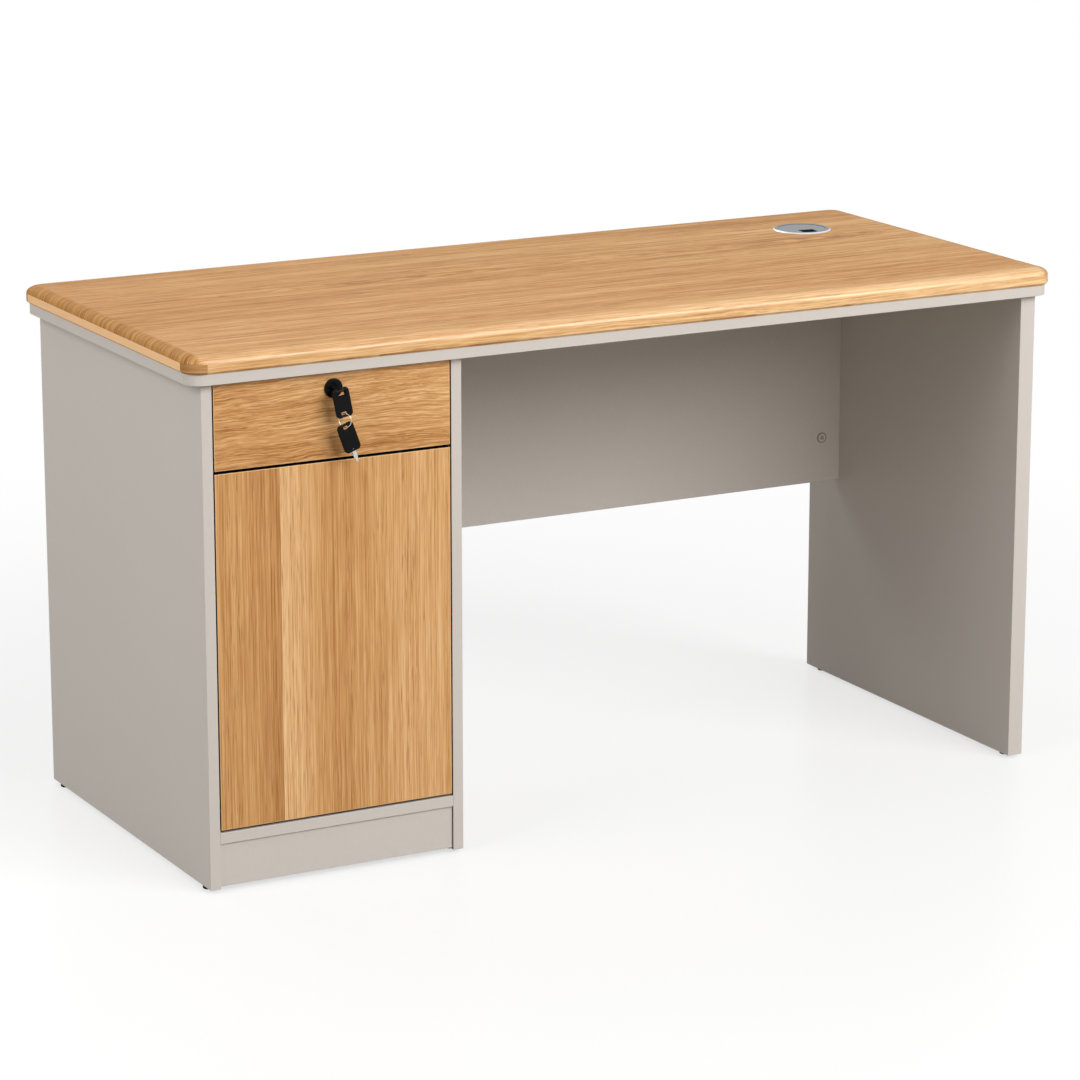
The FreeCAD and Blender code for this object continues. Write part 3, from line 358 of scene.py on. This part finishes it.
def worktop_oak():
    """Laminate on the worktop: grain along X on top, along the edge on the end bands."""
    s = Shader("worktop_oak")
    x, y, z = s.axes()
    far_x = s.math("ABSOLUTE", x)
    far_y = s.math("ABSOLUTE", y)

    under_round = s.math("LESS_THAN", z, worktop_high.z - WORKTOP_ROUND_HEIGHT)
    past_x = s.math("LESS_THAN", x, worktop_low.x + WORKTOP_CORNER)
    past_y = s.math("GREATER_THAN", far_y, worktop_high.y - WORKTOP_CORNER)
    corner = s.math("MULTIPLY", s.math("MULTIPLY", past_x, past_y), under_round)
    near_end = s.math("GREATER_THAN", far_x, worktop_high.x - END_BAND_REACH)
    end_band = s.math("MULTIPLY", near_end, s.math("SUBTRACT", under_round, corner, clamp=True))
    long_edge = s.spread(far_y, worktop_high.y - WORKTOP_ROUND_WIDTH, worktop_high.y)

    upright = s.math("MAXIMUM", end_band, corner)
    down = s.math("MULTIPLY", s.math("SUBTRACT", worktop_high.z, z), s.math("SIGN", y))
    along = s.blend(upright, x, s.math("ADD", y, far_x))
    across = s.blend(upright, s.math("ADD", y, down), z)
    # Painted highlight makes the rounded long edges lighter; the end bands are the wood's own paler tone
    painted_light_and_band_tone = s.math("ADD", s.math("MULTIPLY", long_edge, LONG_EDGE_PAINTED_LIGHT),
                     s.math("MULTIPLY", end_band, END_BAND_TONE))
    bias = s.math("ADD", painted_light_and_band_tone, s.spread(x, worktop_low.x, worktop_high.x, *WORKTOP_TONES))
    colour, pores, streaks = oak_grain(s, along, across, bias=bias, **WORKTOP_GRAIN)

    rounded = s.spread(far_x, worktop_high.x - WORKTOP_ROUND_WIDTH, worktop_high.x - END_GRAIN_FULL)
    on_round = s.math("MULTIPLY", rounded, s.math("SUBTRACT", 1.0, under_round))
    colour = s.mix(s.math("MULTIPLY", on_round, END_GRAIN_STRENGTH), colour, end_grain(s, far_x, y, z))
    colour = s.mix(s.math("MULTIPLY", end_band, END_BAND_STRENGTH), colour, END_PALE)
    colour = s.mix(s.math("MULTIPLY", corner, END_CORNER_STRENGTH), colour, END_DARK)
    finish_oak(s, colour, pores, streaks)

    polish = s.math("MULTIPLY", long_edge, s.math("GREATER_THAN", s.facing()[2], EDGE_RISE))
    s.set(Coat_Weight=polish, Coat_Roughness=EDGE_ROUGHNESS)
    return s.material


# Warm grey melamine board

GREY = srgb(209, 202, 195)
GREY_DEEP = srgb(201, 194, 187)
CLOUD_SCALE = 2.5
CLOUD_DETAIL = 1.0
CLOUD_SHARE = 0.25
SPECK_SCALE = 900.0
SPECK_SHARE = 0.75
MELAMINE_ROUGHNESS = (0.42, 0.54)
MELAMINE_SHEEN = 0.25
MELAMINE_RELIEF = (0.00006, 0.35)
# Painted shade on the inner panel: its reach across the face and its depth behind the fronts
GAP_SHADE_REACH = 0.0004
GAP_SHADE_DEPTH = 0.006


def melamine(name, gap_shade_x=None):
    """Melamine board; the X given for the gap shade names a face whose front strip gets near-black painted
    shade, where it shows through the gap beside the fronts.
    """
    s = Shader(name)
    x, y, z = s.axes()
    place = s.vector(x, y, z)
    cloud = s.noise(place, CLOUD_SCALE, CLOUD_DETAIL)
    speck = s.noise(place, SPECK_SCALE)
    tone = s.math("ADD", s.math("MULTIPLY", cloud, CLOUD_SHARE), s.math("MULTIPLY", speck, SPECK_SHARE))
    colour = s.ramp(tone, list(zip(NOISE_RANGE, (GREY_DEEP, GREY))))
    if gap_shade_x is not None:
        # Painted shade: a near-black strip along the front of that face, behind the gap
        at_gap_shade_face = s.math("LESS_THAN", s.math("ABSOLUTE", s.math("SUBTRACT", x, gap_shade_x)), GAP_SHADE_REACH)
        gap_shade_strip = s.math("MULTIPLY", at_gap_shade_face, s.math("LESS_THAN", y, drawer_low.y + GAP_SHADE_DEPTH))
        gap_shade_strip = s.math("MULTIPLY", gap_shade_strip, s.math("GREATER_THAN", y, drawer_low.y + ARRIS))
        colour = s.mix(gap_shade_strip, colour, PAINTED_GAP_SHADE)
    s.set(Base_Color=colour, Roughness=s.graded(speck, *MELAMINE_ROUGHNESS), Specular_IOR_Level=MELAMINE_SHEEN)
    s.bump(speck, *MELAMINE_RELIEF)
    return s.material


# Plated metals

ZINC = srgb(196, 199, 203)
ZINC_ROUGHNESS = (0.30, 0.46)
NICKEL = srgb(214, 211, 206)
NICKEL_ROUGHNESS = (0.16, 0.30)
BRUSH_WAVES = (60.0, 900.0, 900.0)
STAIN_SCALE = 45.0
STAIN_RANGE = (0.35, 0.75)
STAIN_SHADE = 0.78
PLATED_RELIEF = (0.00003, 0.3)


def plated(name, base, roughness):
    """Metal brushed along Y, with duller stains."""
    s = Shader(name)
    x, y, z = s.axes()
    brush = s.noise(s.stretched((y, x, z), BRUSH_WAVES), detail=FINE_DETAIL)
    stain = s.noise(s.vector(x, y, z), STAIN_SCALE, FINE_DETAIL)
    dull = tuple(part * STAIN_SHADE for part in base[:3]) + (1.0,)
    s.set(Base_Color=s.mix(s.spread(stain, *STAIN_RANGE), base, dull), Metallic=1.0)
    s.set(Roughness=s.graded(brush, *roughness))
    s.bump(brush, *PLATED_RELIEF)
    return s.material


# Moulded plastics: two close colours, a range of roughness and a sheen for each

BLACK_PLASTIC = (srgb(5, 5, 6), srgb(9, 9, 10), (0.22, 0.32), 0.12)
GREY_PLASTIC = (srgb(168, 162, 154), srgb(176, 170, 162), (0.36, 0.5), 0.5)
SPARK_SCALE = 1800.0
TINT_SCALE = 60.0
MOULDED_RELIEF = (0.00003, 0.25)


def moulded(name, base, lift, roughness, sheen):
    """Moulded plastic with a fine sparked texture."""
    s = Shader(name)
    place = s.vector(*s.axes())
    spark = s.noise(place, SPARK_SCALE)
    tint = s.noise(place, TINT_SCALE)
    s.set(Base_Color=s.mix(s.graded(tint), base, lift))
    s.set(Roughness=s.graded(spark, *roughness), Specular_IOR_Level=sheen)
    s.bump(spark, *MOULDED_RELIEF)
    return s.material


# Cover cap of the modesty panel's cam: rings of painted shade and painted highlight from the middle to the
# rim, as shares of its radius

CAP_GREY = srgb(190, 182, 174)
CAP_PAINTED_HIGHLIGHT = srgb(214, 207, 200)
CAP_PAINTED_SHADE = srgb(128, 120, 112)
CAP_PAINTED_LIGHT_RINGS = [(0.10, CAP_PAINTED_SHADE), (0.42, CAP_GREY), (0.70, CAP_PAINTED_HIGHLIGHT), (0.84, CAP_PAINTED_SHADE)]
CAP_SPECK_SHARE = 0.2
CAP_RELIEF = (0.00004, 0.3)


def cover_cap():
    """Small grey cap with painted shade on its rim and in a shallow dimple at the middle, and a painted
    highlight ring between.
    """
    s = Shader("cover_cap")
    x, y, z = s.axes()
    middle, size = (cap_low + cap_high) / 2, cap_high - cap_low
    reach = s.math("DIVIDE", from_centre(s, (middle.x, middle.z), x, z), size.x / 2)
    speck = s.noise(s.vector(x, y, z), SPECK_SCALE)
    # Painted shade in the middle and at the rim, with a painted highlight ring between
    face = s.ramp(reach, CAP_PAINTED_LIGHT_RINGS)
    s.set(Base_Color=s.mix(s.math("MULTIPLY", speck, CAP_SPECK_SHARE), face, CAP_GREY))
    s.set(Roughness=s.graded(speck, *MELAMINE_ROUGHNESS))
    s.bump(speck, *CAP_RELIEF)
    return s.material


# Cable grommet

SILVER = srgb(124, 126, 130)
SILVER_DEEP = srgb(102, 104, 108)
# Painted highlight: near-white on the rim's bevel
SILVER_RIM_PAINTED_HIGHLIGHT = srgb(222, 226, 232)
# Painted shade: near-black for the faces inside the hole
PAINTED_SHADE_INSIDE = srgb(10, 10, 11)
RIM_BEVEL = 0.0017
LACQUER_WAVES = (30.0, 1600.0, 600.0)
LACQUER_RANGE = (0.35, 0.65)
LACQUER_METAL = 0.8
LACQUER_ROUGHNESS = (0.28, 0.42)
LACQUER_RELIEF = (0.00003, 0.35)
UPWARDS = 0.3


def grommet_silver():
    """Brushed silver lacquer with a near-white painted highlight on the bevelled rim, and near-black painted
    shade inside the hole.
    """
    s = Shader("grommet_silver")
    x, y, z = s.axes()
    brush = s.noise(s.stretched((x, y, z), LACQUER_WAVES), detail=FINE_DETAIL)
    colour = s.mix(s.spread(brush, *LACQUER_RANGE), SILVER_DEEP, SILVER)
    radius = from_centre(s, (grommet_centre.x, grommet_centre.y), x, y)
    # Painted highlight on the rim's bevel
    painted_rim_highlight = s.math("GREATER_THAN", radius, (grommet_high.x - grommet_low.x) / 2 - RIM_BEVEL)
    colour = s.mix(painted_rim_highlight, colour, SILVER_RIM_PAINTED_HIGHLIGHT)
    # Painted shade on every face that doesn't face up, inside the hole
    outside = s.math("MAXIMUM", s.math("GREATER_THAN", s.facing()[2], UPWARDS), painted_rim_highlight)
    s.set(Base_Color=s.mix(outside, PAINTED_SHADE_INSIDE, colour))
    s.set(Metallic=s.math("MULTIPLY", outside, LACQUER_METAL), Roughness=s.graded(brush, *LACQUER_ROUGHNESS))
    s.bump(brush, *LACQUER_RELIEF)
    return s.material


# Beech dowels

BEECH_DEEP = srgb(190, 146, 98)
BEECH_PALE = srgb(222, 184, 138)
BEECH_WAVES = (300.0, 300.0, 300.0)
BEECH_ROUGHNESS = (0.6, 0.7)


def turned_beech():
    s = Shader("beech")
    fleck = s.noise(s.stretched(s.axes(), BEECH_WAVES), detail=FINE_DETAIL)
    s.set(Base_Color=s.ramp(fleck, list(zip(NOISE_RANGE, (BEECH_DEEP, BEECH_PALE)))))
    s.set(Roughness=s.graded(fleck, *BEECH_ROUGHNESS))
    return s.material


# Each node's material: its own, or that of its slot

slot_materials = {
    "grey_melamine": melamine("grey_melamine"),
    "beech": turned_beech(),
    "zinc_steel": plated("zinc_steel", ZINC, ZINC_ROUGHNESS),
    "nickel": plated("nickel", NICKEL, NICKEL_ROUGHNESS),
    "black_plastic": moulded("black_plastic", *BLACK_PLASTIC),
    "grey_plastic": moulded("grey_plastic", *GREY_PLASTIC),
    "silver_plastic": grommet_silver(),
}
node_materials = {
    "worktop": worktop_oak(),
    "drawer_front": drawer_oak(),
    "cabinet_door": door_oak(),
    "pedestal_inner_panel": melamine("inner_panel_melamine", inner_panel_low.x),
    "cam_cover_cap": cover_cap(),
}
node_slots = {entry["node"]: entry["material_slot"] for entry in frame["record"]["subparts"]}
for name, piece in nodes.items():
    material = node_materials.get(name) or slot_materials[node_slots[name]]
    piece.data.materials.clear()
    piece.data.materials.append(material)


# Pale floor, white background and soft light

WHITE = (1.0, 1.0, 1.0, 1.0)
FLOOR_REACH = 30.0
FLOOR_SEEN = (0.97, 0.97, 0.97, 1.0)
FLOOR_BOUNCE = (0.33, 0.30, 0.26, 1.0)
FLOOR_ROUGHNESS = 0.32
FLOOR_SHEEN = 0.35
AMBIENT = 0.28

# The floor's own white, near the desk and away from it, and the distances between which it rises
FLOOR_GLOW = (0.66, 1.0)
FLOOR_GLOW_REACH = (0.9, 2.2)

# Area lamps: place, target and size in metres, and power in watts
Lamp = namedtuple("Lamp", "name place target width height power")
LAMPS = (
    Lamp("key", (1.6, -4.3, 3.25), (0.0, 0.0, 0.45), 4.2, 2.8, 252.0),
    Lamp("fill", (-3.6, -0.6, 2.5), (0.0, 0.0, 0.5), 2.4, 2.0, 62.0),
    Lamp("back", (-1.0, 3.8, 3.8), (0.0, 0.0, 0.4), 3.0, 2.2, 46.0),
)


def aimed(direction):
    """Rotation of a lamp or camera that looks in a direction."""
    return direction.to_track_quat("-Z", "Y").to_euler()


def seen_directly(tree):
    """1 for the rays that show the background: to the camera, in a reflection and through glass."""
    path = tree.nodes.new("ShaderNodeLightPath")
    seen = path.outputs["Is Camera Ray"]
    for other in ("Is Glossy Ray", "Is Transmission Ray"):
        joined = tree.nodes.new("ShaderNodeMath")
        joined.operation = "MAXIMUM"
        tree.links.new(seen, joined.inputs[0])
        tree.links.new(path.outputs[other], joined.inputs[1])
        seen = joined.outputs[0]
    return seen


def floor_material():
    """White where it is seen, keeping part of the object's shadow and a faint reflection."""
    s = Shader("pale_floor")
    seen = seen_directly(s.tree)
    s.set(Base_Color=s.mix(seen, FLOOR_BOUNCE, FLOOR_SEEN))
    s.set(Roughness=FLOOR_ROUGHNESS, Specular_IOR_Level=FLOOR_SHEEN)
    glow = s.add("Emission", {"Color": WHITE, "Strength": 1.0})
    x, y, _ = s.axes()
    away = from_centre(s, (0.0, 0.0), x, y)
    share = s.math("MULTIPLY", seen, s.spread(away, *FLOOR_GLOW_REACH, *FLOOR_GLOW))
    mixed = s.add("MixShader", {0: share, 1: s.surface.outputs[0], 2: glow.outputs[0]})
    s.feed(s.tree.nodes["Material Output"].inputs["Surface"], mixed.outputs[0])
    return s.material


def make_floor():
    mesh = bpy.data.meshes.new("floor")
    shape = bmesh.new()
    corners = [(-FLOOR_REACH, -FLOOR_REACH), (FLOOR_REACH, -FLOOR_REACH), (FLOOR_REACH, FLOOR_REACH),
               (-FLOOR_REACH, FLOOR_REACH)]
    shape.faces.new([shape.verts.new((x, y, 0.0)) for x, y in corners])
    shape.to_mesh(mesh)
    shape.free()
    floor = bpy.data.objects.new("floor", mesh)
    bpy.context.scene.collection.objects.link(floor)
    mesh.materials.append(floor_material())


def make_world():
    """White where it is seen, and a weak even light elsewhere."""
    world = bpy.data.worlds.new("studio")
    bpy.context.scene.world = world
    world.use_nodes = True
    tree = world.node_tree
    back = tree.nodes["Background"]
    back.inputs["Color"].default_value = WHITE
    strength = tree.nodes.new("ShaderNodeMapRange")
    strength.inputs["To Min"].default_value = AMBIENT
    strength.inputs["To Max"].default_value = 1.0
    tree.links.new(seen_directly(tree), strength.inputs["Value"])
    tree.links.new(strength.outputs["Result"], back.inputs["Strength"])


def make_lamp(plan):
    light = bpy.data.lights.new(plan.name, "AREA")
    light.shape = "RECTANGLE"
    light.size = plan.width
    light.size_y = plan.height
    light.energy = plan.power
    lamp = bpy.data.objects.new(plan.name, light)
    lamp.location = plan.place
    lamp.rotation_euler = aimed(Vector(plan.target) - Vector(plan.place))
    bpy.context.scene.collection.objects.link(lamp)


make_floor()
make_world()
for plan in LAMPS:
    make_lamp(plan)


# Camera at the photograph's place: focal length and picture width in pixels, sensor in millimetres

PICTURE_WIDTH = 1080
FOCAL_PIXELS = 4121.0
SENSOR = 36.0
CAMERA_PLACE = (-2.8279, -5.2532, 1.8763)
CAMERA_YAW = math.radians(28.25)
CAMERA_PITCH = math.radians(14.27)


def make_camera():
    data = bpy.data.cameras.new("camera")
    data.sensor_width = SENSOR
    data.lens = SENSOR * FOCAL_PIXELS / PICTURE_WIDTH
    camera = bpy.data.objects.new("camera", data)
    camera.location = CAMERA_PLACE
    level = math.cos(CAMERA_PITCH)
    look = Vector((math.sin(CAMERA_YAW) * level, math.cos(CAMERA_YAW) * level, -math.sin(CAMERA_PITCH)))
    camera.rotation_euler = aimed(look)
    bpy.context.scene.collection.objects.link(camera)
    bpy.context.scene.camera = camera


make_camera()
bpy.context.scene.view_settings.view_transform = "Standard"
